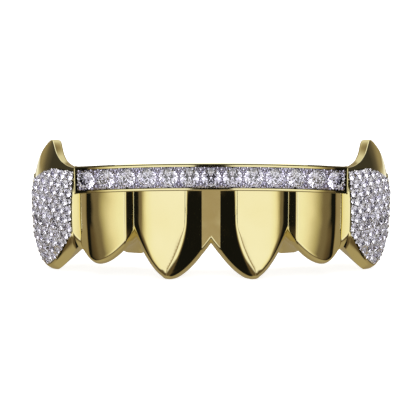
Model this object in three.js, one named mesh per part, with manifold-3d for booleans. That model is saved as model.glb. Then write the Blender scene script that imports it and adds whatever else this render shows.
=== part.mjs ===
// Fang grillz for the six upper front teeth: a hollow gold casting with pointed caps, a curved
// channel of round stones across the top, and a field of small stones on each canine cap.
// Millimetres, +Z up. The wearer's mouth is at +Y, so the show side faces -Y.
// The piece stands on the tips of its two centre fangs and its two canine caps.
import * as THREE from "three";
import { mergeVertices } from "three/addons/utils/BufferGeometryUtils.js";
import Module from "manifold-3d";

const wasm = await Module();
wasm.setup();

// The arch in plan: a superellipse. A station is a distance from the midline, measured across it.
const ARCH_HALF_WIDTH = 23.4;
const ARCH_DEPTH = 16.0;
const ARCH_POWER = 2.5;

// Walls and heights
const LINGUAL_OFFSET = -8.3; // outer face of the back wall, measured inwards from the arch
const LINGUAL_WALL = 1.0;
const END_WALL = 1.2;
const END_CLEAR = 0.3; // how far the space above an end wall is cut past both its sides
const HEEL_RADIUS = 0.8; // rounding under the back wall
const LINGUAL_TOP = 11.8; // top of the back wall at the midline
const LINGUAL_TOP_DROP = 1.5; // how much lower it is at the ends
const CREST_HEIGHT = 8.0; // where the crowns bulge most
const TIP_FLAT = 0.15; // how much is polished off the four tips that the piece stands on

// Channel of stones across the top
const BAR_TOP = 15.28; // at the midline
const BAR_DROP = 1.05; // how much lower its ends are
const BAR_DROP_POWER = 2.6; // of the curve down to them
const BAR_HEIGHT = 3.45;
const BAR_FRONT = 1.2; // how far it stands out from the arch
const BAR_END = 16.25;
const BAR_BEVEL = 0.16;
const BAR_SLANT = 0.24; // how steeply its top falls towards the teeth
const BAR_RISE = 0.5; // how far its top stands above the front wall
const BAR_TOP_RIM = 0.44; // gold edge above the stones
const BAR_LOW_RIM = 0.34; // and below them
const BAR_END_RIM = 0.2;
const RAIL_FRONT = 1.1; // face of the white metal that holds the stones
const RAIL_BACK = -0.25;
const GAP = 0.06; // around an inlaid piece

// Round stones in the channel
const STONE_COUNT = 13;
const STONE_DIAMETER = 2.4;
const STONE_SIDES = 16;
const GIRDLE = 0.015; // half the girdle's thickness; this and the cut are shares of the diameter
const PAVILION = 0.43; // depth below the girdle
const CUT = [
  { name: "table", corners: STONE_SIDES / 2, turn: 0, reach: 0.56, height: 0.165 },
  { name: "star", corners: STONE_SIDES / 2, turn: 1, reach: 0.8, height: 0.105 },
  { name: "upper", corners: STONE_SIDES, turn: 0, reach: 1, height: GIRDLE },
  { name: "under", corners: STONE_SIDES, turn: 0, reach: 1, height: -GIRDLE },
  { name: "lower", corners: STONE_SIDES / 2, turn: 1, reach: 0.24, height: -0.345 },
  { name: "culet", corners: 1, turn: 0, reach: 0, height: -PAVILION },
];

// Canine caps: the fin above the stones, and the field of small stones
const FIN_PEAK = { x: 20.65, z: 16.7 };
const FIN_FROM = { x: 16.9, z: 13.75 }; // where the canine cap's top begins
const FIN_MESIAL_RISE = 2.5; // power of the hollow curve up to the peak
const FIN_DISTAL_FALL = 2.6;
const FIN_END_HEIGHT = 11.6; // top of the cap's far end
const PAVE_MESIAL = 17.1;
const PAVE_DISTAL = 22.25;
const PAVE_TOP = 13.3;
const PAVE_TOP_DROP = { from: 19.2, by: 2.2 };
const PAVE_LEDGE = 0.1; // plain gold between the rolled edge and the field
const PAVE_THICKNESS = 0.7;
const PAVE_PROUD = 0.08;
const PAVE_PITCH = 1.24;
const PAVE_STONE_RADIUS = 0.56;
const PAVE_STONE_SIDES = 8;
const PAVE_STONE_ROOT = { reach: 1.2, height: -0.16 }; // sunk in the bed; reaches are shares of the radius
const PAVE_STONE_TABLE = { reach: 0.6, height: 0.26 };
const PAVE_MARGIN = 0.62; // from a stone's centre to the field's edge
const PAVE_SIDE_MARGIN = 0.5; // the same along the arch, in stations
const PAVE_FAR_MARGIN = 0.25;
const PAVE_ROW_SHIFT = 0.5; // every other row starts this much farther along
const NEARBY = 0.05; // step for finding which way a face looks

// Crowns, from the midline outwards. A crown falls from a station to its outer edge, and is set back
// towards its tip and towards its top.
const CROWNS = [
  { from: 0, to: 9.57, crest: 0.3, distalStart: 8.0, distalFall: 0.3, tipInset: 0.75, topInset: 0.25 },
  { from: 9.57, to: 16.5, crest: 0.2, distalStart: 13.9, distalFall: 0.48, tipInset: 1.15, topInset: 0.25 },
  { from: 16.5, to: 22.6, crest: 0.45, distalStart: 21.6, distalFall: 0.6, tipInset: 0.8, topInset: 1.75 },
];
const CREASE = CROWNS[0].to; // between the centre crown and the side crown
const ARCH_END = CROWNS[2].to;
const TOP_INSET_POWER = 2.0;
// Inner sides of the crowns are flat facets. The centre crown's runs from a ridge down to a valley.
const RIDGE = { topX: 3.05, tipX: 5.35, height: 8.0, power: 1.6 }; // it bends out below this height
const VALLEY = { halfWidth: 1.0, depth: 1.0, lean: 0.1, top: 12.0 }; // deeper towards the tips
const PANEL_TILT = 0.05; // how much the face outside the ridge is turned outwards
const SIDE_FACET = { start: 10.55, slope: 0.84 };
const CANINE_CHAMFER = 1.27; // slope of the strip beside the field of stones

// Lower outline, one row for each side of a tip: a power curve from the tip up to the notch.
// The edge is rolled over a band of the given width, to the given depth.
const LOWER_EDGE = [
  { tipX: 5.1, tipZ: -TIP_FLAT, notchX: 0, notchZ: 4.4, power: 1.65, tipBand: 0.7, notchBand: 0.6 },
  { tipX: 5.1, tipZ: -TIP_FLAT, notchX: CREASE, notchZ: 5.3, power: 1.75, tipBand: 0.7, notchBand: 0.7 },
  { tipX: 14.5, tipZ: 1.55, notchX: CREASE, notchZ: 5.3, power: 1.75, tipBand: 0.8, notchBand: 0.8 },
  { tipX: 14.5, tipZ: 1.55, notchX: 16.9, notchZ: 3.5, power: 1.95, tipBand: 0.8, notchBand: 1.0 },
  { tipX: 20.65, tipZ: -TIP_FLAT, notchX: 16.9, notchZ: 3.75, power: 1.5, tipBand: 0.8, notchBand: 1.2 },
  { tipX: 20.65, tipZ: -TIP_FLAT, notchX: ARCH_END, notchZ: 5.2, power: 2.8, tipBand: 0.8, notchBand: 0.3 },
];
const EDGE_FALL = 0.9;
const TALLEST_BAND = 2.6;

// Lower edge of the back wall
const HEEL = [
  { x: 0, z: 3.8 },
  { x: 4.5, z: 2.5 },
  { x: 8.2, z: 2.8 },
  { x: 10.6, z: 1.75 },
  { x: 12.9, z: 1.75 },
  { x: 16.8, z: 4.8 },
  { x: 19.7, z: 4.0 },
  { x: ARCH_END, z: 5.2 },
];

// How far the underside arches up between its two edges
const UNDERSIDE = [
  { x: 0, lift: -0.15 },
  { x: 8.4, lift: -0.15 },
  { x: 10.5, lift: 0.9 },
  { x: 12.5, lift: 1.0 },
  { x: 14.5, lift: 0.5 },
  { x: 16.8, lift: -0.15 },
  { x: ARCH_END, lift: -0.15 },
];

// Hollow for the teeth: its front wall, measured from the arch, and its floor
const HOLLOW_ROUND = 0.6;
const RIM_PASS = 0.6; // how far the rim is drawn past the hollow before it is cut
const RIM_SLANT = 0.3; // how steeply the rim falls towards the teeth
const HOLLOW = [
  { x: 0, front: -2.3, floor: 6.0 },
  { x: 4.8, front: -1.05, floor: 3.7 },
  { x: 8.0, front: -1.15, floor: 5.6 },
  { x: 9.9, front: -2.4, floor: 7.5 },
  { x: 11.6, front: -1.25, floor: 5.6 },
  { x: 14.0, front: -1.15, floor: 3.8 },
  { x: 17.0, front: -2.3, floor: 6.2 },
  { x: 18.9, front: -1.0, floor: 5.2 },
  { x: ARCH_END, front: -1.15, floor: 6.4 },
];

// Stations of the casting's sections, as runs with a number of steps
const STEP_WIDTH = 0.01; // where the face or its top edge steps from one crown to the next
const STATION_RUNS = [
  { to: VALLEY.halfWidth, steps: 1 },
  { to: RIDGE.topX, steps: 2 },
  { to: LOWER_EDGE[0].tipX, steps: 6 },
  { to: CROWNS[0].distalStart, steps: 3 },
  { to: CREASE - STEP_WIDTH, steps: 3 },
  { to: CREASE, steps: 1 },
  { to: SIDE_FACET.start, steps: 2 },
  { to: CROWNS[1].distalStart, steps: 3 },
  { to: LOWER_EDGE[2].tipX, steps: 1 },
  { to: CROWNS[1].to, steps: 4 },
  { to: FIN_FROM.x, steps: 2 },
  { to: FIN_FROM.x + STEP_WIDTH, steps: 1 },
  { to: 17.25, steps: 2 },
  { to: 18.6, steps: 2 },
  { to: FIN_PEAK.x, steps: 6 },
  { to: ARCH_END, steps: 5 },
];
const FACE_ROWS = 7;
const ROLL_ROWS = 3;
const UNDERSIDE_ROWS = 2;
const HEEL_ROWS = 2;
const HOLLOW_ROWS = 3;
const HOLLOW_STEPS = 24;
const END_STEPS = 4;
const BAR_STEPS = 14;
const PAVE_COLUMNS = 9;
const PAVE_ROWS = 3;
const SPACING_STEPS = 2000; // fineness when lengths are measured along the arch
const WELD = 1e-4; // corners closer than this are one
const CLEAR = 3.0; // how far the cutters pass the faces that they open

const gold = new THREE.MeshStandardMaterial({ color: 0xd9bf6e, roughness: 0.12, metalness: 1.0 });
const whiteMetal = new THREE.MeshStandardMaterial({ color: 0xd5d4d8, roughness: 0.25, metalness: 1.0 });
const crystal = new THREE.MeshStandardMaterial({ color: 0xdcd8ea, roughness: 0.04, metalness: 0.1 });

// Curves along the arch

function archPoint(x, n, z) {
  const share = Math.abs(x) / ARCH_HALF_WIDTH;
  const left = 1 - Math.pow(share, ARCH_POWER);
  const depth = ARCH_DEPTH * (1 - Math.pow(left, 1 / ARCH_POWER));
  const steepness = Math.pow(share, ARCH_POWER - 1) * Math.pow(left, 1 / ARCH_POWER - 1);
  const slope = (Math.sign(x) * steepness * ARCH_DEPTH) / ARCH_HALF_WIDTH;
  const length = Math.hypot(1, slope);
  return new THREE.Vector3(x + (n * slope) / length, depth - n / length, z);
}

// Value of a table's column at a station, eased from row to row.
function along(table, column, x) {
  const distance = Math.min(Math.abs(x), table.at(-1).x);
  const next = Math.max(1, table.findIndex((row) => row.x >= distance));
  const [a, b] = [table[next - 1], table[next]];
  return THREE.MathUtils.lerp(a[column], b[column], THREE.MathUtils.smoothstep(distance, a.x, b.x));
}

function lowerSide(x) {
  const distance = Math.abs(x);
  const row = LOWER_EDGE.find((r) => (distance - r.tipX) * (distance - r.notchX) <= 0);
  return { ...row, share: Math.abs((distance - row.tipX) / (row.notchX - row.tipX)) };
}

function lowerEdge(x) {
  const side = lowerSide(x);
  return side.tipZ + (side.notchZ - side.tipZ) * Math.pow(side.share, side.power);
}

// Height of the rolled band above the lower outline: its width, measured square to the outline.
function bandHeight(x) {
  const side = lowerSide(x);
  const rise = side.power * Math.pow(side.share, side.power - 1) * (side.notchZ - side.tipZ);
  const slope = rise / Math.abs(side.notchX - side.tipX);
  const width = THREE.MathUtils.lerp(side.tipBand, side.notchBand, side.share);
  return Math.min(width * Math.hypot(1, slope), TALLEST_BAND);
}

function barTop(x) {
  return BAR_TOP - BAR_DROP * Math.pow(Math.abs(x) / BAR_END, BAR_DROP_POWER);
}

// Top of the front wall: inside the channel, then up into the canine's fin.
function topEdge(x) {
  const distance = Math.abs(x);
  if (distance <= FIN_FROM.x) return barTop(x) - BAR_RISE;
  if (distance <= FIN_PEAK.x) {
    const share = (distance - FIN_FROM.x) / (FIN_PEAK.x - FIN_FROM.x);
    return FIN_FROM.z + (FIN_PEAK.z - FIN_FROM.z) * Math.pow(share, FIN_MESIAL_RISE);
  }
  const share = (distance - FIN_PEAK.x) / (ARCH_END - FIN_PEAK.x);
  return FIN_PEAK.z - (FIN_PEAK.z - FIN_END_HEIGHT) * Math.pow(share, FIN_DISTAL_FALL);
}

function lingualTop(x) {
  return LINGUAL_TOP - LINGUAL_TOP_DROP * Math.pow(Math.abs(x) / ARCH_END, 2);
}

function crownIndex(x) {
  return CROWNS.findLastIndex((crown) => Math.abs(x) >= crown.from);
}

// How far a crown is set back at a height: towards its tip, and towards its top.
function setBack(x, z) {
  const { tipInset, topInset } = CROWNS[crownIndex(x)];
  if (z < CREST_HEIGHT) return tipInset * Math.pow((CREST_HEIGHT - z) / CREST_HEIGHT, 2);
  const share = Math.min(1, (z - CREST_HEIGHT) / (FIN_PEAK.z - CREST_HEIGHT));
  return topInset * Math.pow(share, TOP_INSET_POWER);
}

// How far a centre crown falls back on the two sides of its ridge. Both centre crowns share the valley.
function centreFall(distance, z) {
  const below = THREE.MathUtils.clamp(1 - z / RIDGE.height, 0, 1);
  const ridge = THREE.MathUtils.lerp(RIDGE.topX, RIDGE.tipX, Math.pow(below, RIDGE.power));
  if (distance > ridge) return PANEL_TILT * (distance - ridge);
  const depth = VALLEY.depth + VALLEY.lean * (VALLEY.top - z);
  return depth * Math.min(1, (ridge - distance) / (ridge - VALLEY.halfWidth));
}

// Front face of the crowns, measured outwards from the arch.
function crownFace(x, z) {
  const distance = Math.abs(x);
  const index = crownIndex(x);
  const crown = CROWNS[index];
  const past = Math.max(0, distance - crown.distalStart) / (crown.to - crown.distalStart);
  const face = crown.crest - crown.distalFall * past * past - setBack(x, z);
  if (index === 0) return face - centreFall(distance, z);
  if (index === 1) return face - SIDE_FACET.slope * Math.max(0, SIDE_FACET.start - distance);
  const groove = CROWNS[1].crest - CROWNS[1].distalFall - setBack(crown.from - NEARBY, z);
  return Math.min(face, groove + CANINE_CHAMFER * (distance - crown.from));
}

// Sections and lofts

// Closed solid through rings of [n, z] points at stations. Rings run down the front and up the back.
function loft(sections) {
  const corners = ({ x, ring }) => ring.flatMap(([n, z]) => archPoint(x, n, z).toArray());
  const positions = sections.flatMap(corners);
  const size = sections[0].ring.length;
  const index = [];
  for (let i = 0; i + 1 < sections.length; i++) {
    for (let j = 0; j < size; j++) {
      const [a, b] = [i * size + j, i * size + ((j + 1) % size)];
      index.push(a, b, a + size, a + size, b, b + size);
    }
  }
  const cap = (number, facesBack) => {
    const flat = sections[number].ring.map(([n, z]) => new THREE.Vector2(n, z));
    for (const triangle of THREE.ShapeUtils.triangulateShape(flat, [])) {
      const turnsLeft = THREE.ShapeUtils.area(triangle.map((c) => flat[c])) > 0;
      const ordered = turnsLeft === facesBack ? triangle : triangle.reverse();
      index.push(...ordered.map((c) => number * size + c));
    }
  };
  cap(0, true);
  cap(sections.length - 1, false);
  return closedGeometry(positions, index);
}

function closedGeometry(positions, index) {
  const geometry = new THREE.BufferGeometry();
  geometry.setAttribute("position", new THREE.Float32BufferAttribute(positions, 3));
  geometry.setIndex(index);
  return geometry;
}

function steps(from, to, count) {
  return Array.from({ length: count + 1 }, (_, i) => from + ((to - from) * i) / count);
}

function bothSides(half) {
  return [...half.slice(1).map((x) => -x).reverse(), ...half];
}

function castingStations() {
  const half = [0];
  for (const run of STATION_RUNS) half.push(...steps(half.at(-1), run.to, run.steps).slice(1));
  return bothSides(half);
}

function evenStations(end, count) {
  return bothSides(steps(0, end, count));
}

// Outer skin of the casting at a station: front face, rolled lower edge, underside, heel, back wall.
function outerRing(x) {
  const [top, low, band, heel] = [topEdge(x), lowerEdge(x), bandHeight(x), along(HEEL, "z", x)];
  const ring = steps(top, low + band, FACE_ROWS).map((z) => [crownFace(x, z), z]);
  for (let row = 1; row <= ROLL_ROWS; row++) {
    const share = row / ROLL_ROWS;
    const z = low + band * (1 - share);
    ring.push([crownFace(x, z) - EDGE_FALL * share * share, z]);
  }
  const [edge] = ring.at(-1);
  const heelFront = LINGUAL_OFFSET + HEEL_RADIUS;
  for (const share of steps(0, 1, UNDERSIDE_ROWS + 1).slice(1)) {
    const lift = along(UNDERSIDE, "lift", x) * Math.sin(share * Math.PI);
    ring.push([THREE.MathUtils.lerp(edge, heelFront, share), THREE.MathUtils.lerp(low, heel, share) + lift]);
  }
  for (const turn of steps(0, Math.PI / 2, HEEL_ROWS).slice(1)) {
    ring.push([heelFront - HEEL_RADIUS * Math.sin(turn), heel + HEEL_RADIUS * (1 - Math.cos(turn))]);
  }
  const rim = hollowFront(x, top) - RIM_PASS;
  ring.push([LINGUAL_OFFSET, lingualTop(x)], [rim, top - RIM_SLANT * (crownFace(x, top) - rim)]);
  return ring;
}

// Back of the front wall
function hollowFront(x, z) {
  return along(HOLLOW, "front", x) - setBack(x, z);
}

// Clear space above the back wall and the end walls, behind the front wall
function clearRing(x) {
  const heights = steps(FIN_PEAK.z + CLEAR, lingualTop(x), HOLLOW_ROWS);
  const back = LINGUAL_OFFSET - LINGUAL_WALL;
  return [...heights.map((z) => [hollowFront(x, z), z]), [back, heights.at(-1)], [back, heights[0]]];
}

// The hollow itself, open to the clear space
function hollowRing(x) {
  const floor = along(HOLLOW, "floor", x);
  const back = LINGUAL_OFFSET + LINGUAL_WALL;
  const above = clearRing(x);
  const heights = steps(lingualTop(x), floor + HOLLOW_ROUND, HOLLOW_ROWS);
  const front = heights.slice(1).map((z) => [hollowFront(x, z), z]);
  const [corner] = front.at(-1);
  return [
    ...above.slice(0, -2),
    ...front,
    [corner - HOLLOW_ROUND, floor],
    [back + HOLLOW_ROUND, floor],
    [back, floor + HOLLOW_ROUND],
    [back, lingualTop(x)],
    ...above.slice(-2),
  ];
}

// Channel block, with bevelled front edges; the hollow trims its back.
function barRing(x) {
  const [top, low] = [barTop(x), barTop(x) - BAR_HEIGHT];
  const back = hollowFront(x, top) - RIM_PASS;
  return [
    [back, top - BAR_SLANT * (BAR_FRONT - back)],
    [BAR_FRONT - BAR_BEVEL, top],
    [BAR_FRONT, top - BAR_BEVEL],
    [BAR_FRONT, low + BAR_BEVEL],
    [BAR_FRONT - BAR_BEVEL, low],
    [back, low],
  ];
}

function railRing(x, grow) {
  const top = barTop(x) - BAR_TOP_RIM - GAP + grow;
  const low = barTop(x) - BAR_HEIGHT + BAR_LOW_RIM + GAP - grow;
  const front = grow > 0 ? BAR_FRONT + CLEAR : RAIL_FRONT;
  return [[front, top], [front, low], [RAIL_BACK - grow, low], [RAIL_BACK - grow, top]];
}

function sections(stations, ringAt) {
  return stations.map((x) => ({ x, ring: ringAt(x) }));
}

// Joining and cutting

function solid(geometry) {
  const bare = geometry.clone().deleteAttribute("normal").deleteAttribute("uv");
  const merged = mergeVertices(bare, WELD);
  return new wasm.Manifold(
    new wasm.Mesh({
      numProp: 3,
      vertProperties: merged.getAttribute("position").array,
      triVerts: new Uint32Array(merged.index.array),
    }),
  );
}

function geometryOf(body) {
  const { vertProperties, triVerts } = body.getMesh();
  return closedGeometry(Array.from(vertProperties), Array.from(triVerts));
}

function mirrored(geometry) {
  const copy = geometry.clone().applyMatrix4(new THREE.Matrix4().makeScale(-1, 1, 1));
  copy.setIndex(Array.from(geometry.index.array).reverse());
  return copy;
}

// Stones

// A stone stands on a frame whose Z axis is the way it looks out.
function placed(geometry, origin, across, out) {
  const up = new THREE.Vector3().crossVectors(out, across).normalize();
  const side = new THREE.Vector3().crossVectors(up, out).normalize();
  return geometry.clone().applyMatrix4(new THREE.Matrix4().makeBasis(side, up, out).setPosition(origin));
}

// Turned profile of [radius, height] pairs, made upright so that it looks out along Z.
function turned(profile, sides) {
  const points = profile.map(([radius, height]) => new THREE.Vector2(radius, height));
  return new THREE.LatheGeometry(points, sides).rotateX(Math.PI / 2);
}

// Round brilliant: table, stars, kites and girdle halves above, kites and girdle halves below.
function brilliant(diameter) {
  const half = STONE_SIDES / 2;
  const positions = [];
  const level = {};
  for (const { name, corners, turn, reach, height } of CUT) {
    const first = positions.length / 3;
    level[name] = (i) => first + ((i + corners) % corners);
    for (const share of steps(0, 1, corners).slice(0, -1)) {
      const angle = (share + turn / STONE_SIDES) * 2 * Math.PI;
      const radius = (reach * diameter) / 2;
      positions.push(radius * Math.cos(angle), radius * Math.sin(angle), height * diameter);
    }
  }
  const { table, star, upper, under, lower, culet } = level;
  const index = [];
  for (let k = 1; k + 1 < half; k++) {
    index.push(table(0), table(k), table(k + 1));
  }
  for (let k = 0; k < half; k++) {
    const [corner, middle, next] = [2 * k, 2 * k + 1, 2 * k + 2];
    index.push(table(k), star(k), table(k + 1));
    index.push(table(k), star(k - 1), upper(corner), table(k), upper(corner), star(k));
    index.push(star(k), upper(corner), upper(middle), star(k), upper(middle), upper(next));
    index.push(culet(0), under(corner), lower(k - 1), culet(0), lower(k), under(corner));
    index.push(lower(k), under(middle), under(corner), lower(k), under(next), under(middle));
  }
  for (let k = 0; k < STONE_SIDES; k++) {
    index.push(upper(k), under(k), under(k + 1), upper(k), under(k + 1), upper(k + 1));
  }
  return closedGeometry(positions, index);
}

// Stations a given length apart, measured along a line at offset n, from one station to another.
function spacedStations(from, to, n, pitch) {
  const found = [];
  const fine = steps(from, to, SPACING_STEPS);
  let travelled = 0;
  for (let i = 1; i < fine.length; i++) {
    travelled += archPoint(fine[i], n, 0).distanceTo(archPoint(fine[i - 1], n, 0));
    if (travelled >= pitch * (found.length + 1)) found.push(fine[i]);
  }
  return { found, length: travelled };
}

function channelStations() {
  const half = spacedStations(0, BAR_END - BAR_END_RIM, RAIL_FRONT, 1).length;
  const pitch = (2 * half) / STONE_COUNT;
  const { found } = spacedStations(0, BAR_END, RAIL_FRONT, pitch);
  return bothSides([0, ...found.slice(0, (STONE_COUNT - 1) / 2)]);
}

// Where a channel stone sits: on the rail's face, halfway up the channel.
function channelSeat(x) {
  const height = barTop(x) - (BAR_HEIGHT + BAR_TOP_RIM - BAR_LOW_RIM) / 2;
  const origin = archPoint(x, RAIL_FRONT, height);
  const out = archPoint(x, RAIL_FRONT + 1, height).sub(origin);
  return [origin, new THREE.Vector3(-out.y, out.x, 0), out];
}

function seatCutter() {
  const radius = STONE_DIAMETER / 2 + GAP;
  const point = -PAVILION * STONE_DIAMETER - GAP;
  const shoulder = -GIRDLE * STONE_DIAMETER - GAP;
  return turned([[0, point], [radius, shoulder], [radius, CLEAR], [0, CLEAR]], STONE_SIDES);
}

// Field of small stones on a canine cap

function paveTop(x) {
  const past = Math.max(0, x - PAVE_TOP_DROP.from) / (PAVE_DISTAL - PAVE_TOP_DROP.from);
  return PAVE_TOP - PAVE_TOP_DROP.by * past * past;
}

function paveLow(x) {
  return lowerEdge(x) + bandHeight(x) + PAVE_LEDGE;
}

// Slab that follows the cap's face between two depths, inside the field's outline grown all round.
function paveSlab(front, back, grow) {
  const columns = steps(PAVE_MESIAL - grow, PAVE_DISTAL + grow, PAVE_COLUMNS);
  const stack = columns.map((x) => {
    const heights = steps(paveTop(x) + grow, paveLow(x) - grow, PAVE_ROWS);
    const face = heights.map((z) => [crownFace(x, z) + front, z]);
    const rear = heights.map((z) => [crownFace(x, z) + back, z]).reverse();
    return { x, ring: [...face, ...rear] };
  });
  return loft(stack);
}

function pavePoint(x, z) {
  return archPoint(x, crownFace(x, z) + PAVE_PROUD, z);
}

function paveStones() {
  const [root, table] = [PAVE_STONE_ROOT, PAVE_STONE_TABLE];
  const profile = [[0, root.height], [root.reach * PAVE_STONE_RADIUS, root.height]];
  profile.push([table.reach * PAVE_STONE_RADIUS, table.height], [0, table.height]);
  const stone = turned(profile, PAVE_STONE_SIDES);
  const rowHeight = PAVE_PITCH * Math.sin(Math.PI / 3);
  const stones = [];
  for (let row = 0; row * rowHeight < PAVE_TOP; row++) {
    const z = PAVE_TOP - PAVE_MARGIN - row * rowHeight;
    const start = PAVE_MESIAL + PAVE_SIDE_MARGIN + (row % 2) * PAVE_ROW_SHIFT;
    const { found } = spacedStations(start, PAVE_DISTAL - PAVE_FAR_MARGIN, crownFace(start, z), PAVE_PITCH);
    for (const x of [start, ...found]) {
      const fits = z >= paveLow(x) + PAVE_MARGIN && (row === 0 || z <= paveTop(x) - PAVE_MARGIN);
      if (!fits || z > paveTop(x) - PAVE_STONE_RADIUS) continue;
      const origin = pavePoint(x, z);
      const across = pavePoint(x + NEARBY, z).sub(origin);
      const up = pavePoint(x, z + NEARBY).sub(origin);
      const out = new THREE.Vector3().crossVectors(across, up).normalize();
      stones.push(placed(stone, origin, across, out));
    }
  }
  return stones;
}

// Pieces

function mesh(name, geometry, material) {
  const made = new THREE.Mesh(geometry, material);
  made.name = name;
  return made;
}

function castBody() {
  const skin = solid(loft(sections(castingStations(), outerRing)));
  const hollowEnd = ARCH_END - END_WALL;
  const hollow = solid(loft(sections(evenStations(hollowEnd, HOLLOW_STEPS), hollowRing)));
  const endStations = steps(hollowEnd - END_CLEAR, ARCH_END + END_CLEAR, END_STEPS);
  const endClear = loft(sections(endStations, clearRing));
  const bar = solid(loft(sections(evenStations(BAR_END, BAR_STEPS), barRing)));
  const railStations = evenStations(BAR_END - BAR_END_RIM, BAR_STEPS);
  const railSeat = solid(loft(sections(railStations, (x) => railRing(x, GAP))));
  const paveSeat = paveSlab(CLEAR, PAVE_PROUD - PAVE_THICKNESS - GAP, GAP);
  const floor = new THREE.BoxGeometry(4 * ARCH_END, 4 * ARCH_DEPTH, CLEAR).translate(0, 0, -CLEAR / 2);
  return skin
    .add(bar)
    .subtract(hollow)
    .subtract(solid(endClear))
    .subtract(solid(mirrored(endClear)))
    .subtract(railSeat)
    .subtract(solid(paveSeat))
    .subtract(solid(mirrored(paveSeat)))
    .subtract(solid(floor));
}

function stoneRail() {
  const stations = evenStations(BAR_END - BAR_END_RIM - GAP, BAR_STEPS);
  const strip = loft(sections(stations, (x) => railRing(x, 0)));
  const cutter = seatCutter();
  return channelStations().reduce(
    (rail, x) => rail.subtract(solid(placed(cutter, ...channelSeat(x)))),
    solid(strip),
  );
}

function paveField() {
  const bed = solid(paveSlab(PAVE_PROUD, PAVE_PROUD - PAVE_THICKNESS, 0));
  return paveStones().reduce((field, stone) => field.add(solid(stone)), bed);
}

const grillz = new THREE.Group();
grillz.add(mesh("cast_body", geometryOf(castBody()), gold));
grillz.add(mesh("stone_rail", geometryOf(stoneRail()), whiteMetal));
const stone = brilliant(STONE_DIAMETER);
channelStations().forEach((x, i) => {
  const name = `stone_${String(i + 1).padStart(2, "0")}`;
  grillz.add(mesh(name, placed(stone, ...channelSeat(x)), crystal));
});
const field = geometryOf(paveField());
grillz.add(mesh("pave_right", field, whiteMetal));
const leftField = mesh("pave_left", field, whiteMetal);
leftField.scale.x = -1;
grillz.add(leftField);

// The origin is under the middle of the piece, on the surface that it stands on.
const box = new THREE.Box3().setFromObject(grillz);
grillz.position.y = -(box.min.y + box.max.y) / 2;

export default grillz;
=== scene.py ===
"""Fang grillz: a polished gold casting, a channel of round stones and two stone-covered canine caps."""

import math

import bmesh
import bpy
import numpy as np
from mathutils import Matrix, Vector


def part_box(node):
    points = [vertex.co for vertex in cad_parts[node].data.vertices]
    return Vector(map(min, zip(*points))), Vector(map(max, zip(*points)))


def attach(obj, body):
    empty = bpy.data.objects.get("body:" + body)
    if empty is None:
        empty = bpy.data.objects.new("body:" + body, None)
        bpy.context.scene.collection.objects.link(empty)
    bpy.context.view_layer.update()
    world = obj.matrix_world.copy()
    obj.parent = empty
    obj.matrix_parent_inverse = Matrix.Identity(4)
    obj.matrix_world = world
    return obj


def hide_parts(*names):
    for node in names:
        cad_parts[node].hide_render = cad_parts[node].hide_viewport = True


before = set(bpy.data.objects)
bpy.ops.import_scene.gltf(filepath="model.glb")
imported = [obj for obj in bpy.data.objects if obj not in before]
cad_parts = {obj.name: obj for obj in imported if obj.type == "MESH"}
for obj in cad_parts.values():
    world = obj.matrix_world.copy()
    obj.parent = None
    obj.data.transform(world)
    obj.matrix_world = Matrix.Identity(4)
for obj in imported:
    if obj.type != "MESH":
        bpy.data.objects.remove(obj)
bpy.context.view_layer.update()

# Lengths are millimetres, as in the solids, and become metres where a mesh is made
MM = 0.001
# A step too small to see, between points that would otherwise fall together
HAIR = 0.001

# The arch in plan, walls and heights
ARCH_HALF_WIDTH = 23.4
ARCH_DEPTH = 16.0
ARCH_POWER = 2.5
LINGUAL_OFFSET = -8.3
LINGUAL_WALL = 1.0
END_WALL = 1.2
HEEL_RADIUS = 0.8
LINGUAL_TOP = 11.8
LINGUAL_TOP_DROP = 1.5
CREST_HEIGHT = 8.0
TIP_FLAT = 0.15

# Stations along the arch, from the midline outwards
FANG_TIP = 5.1
CENTRE_END = 9.57
SIDE_TIP = 14.5
SIDE_END = 16.5
CANINE_START = 16.9
CANINE_TIP = 20.65
ARCH_END = 22.6
HOLLOW_END = ARCH_END - END_WALL

# Channel of stones across the top
BAR_TOP = 15.28
BAR_DROP = 1.05
BAR_DROP_POWER = 2.6
BAR_HEIGHT = 3.45
BAR_FRONT = 1.2
BAR_END = 16.25
BAR_SLANT = 0.24
BAR_RISE = 0.5
BAR_TOP_RIM = 0.44
BAR_LOW_RIM = 0.34
BAR_END_RIM = 0.2
BAR_INSET = 0.02
TOP_BEVEL_HEIGHT, TOP_BEVEL_DEPTH = 0.22, 0.035
LOW_BEVEL_HEIGHT, LOW_BEVEL_DEPTH = 0.14, 0.05
# Rounding of the bar's corners: back top, front top, two at the bevels, front low, back low
BAR_ROUNDS = (0.05, 0.1, 0.03, 0.03, 0.05, 0.05)
BAR_END_ROUND = 0.08
RAIL_FRONT = 1.1
RAIL_BACK = -0.25
RAIL_ROUND = 0.05
GAP = 0.06
CUTTER_REACH = 2.0

# Round brilliant: reach in shares of the radius, height in shares of the diameter
STONE_COUNT = 13
STONE_DIAMETER = 2.4
STONE_SIDES = 16
MAIN_FACETS = STONE_SIDES // 2
TABLE_HEIGHT = 0.165
GIRDLE = 0.015
PAVILION = 0.43
CUT = (
    # name, corners, turn in sides, reach, height
    ("table", MAIN_FACETS, 0, 0.56, TABLE_HEIGHT),
    ("star", MAIN_FACETS, 1, 0.8, 0.105),
    ("upper", STONE_SIDES, 0, 1.0, GIRDLE),
    ("under", STONE_SIDES, 0, 1.0, -GIRDLE),
    ("lower", MAIN_FACETS, 1, 0.24, -0.345),
    ("culet", 1, 0, 0.0, -PAVILION),
)
SEAT_SIDES = 32

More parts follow.
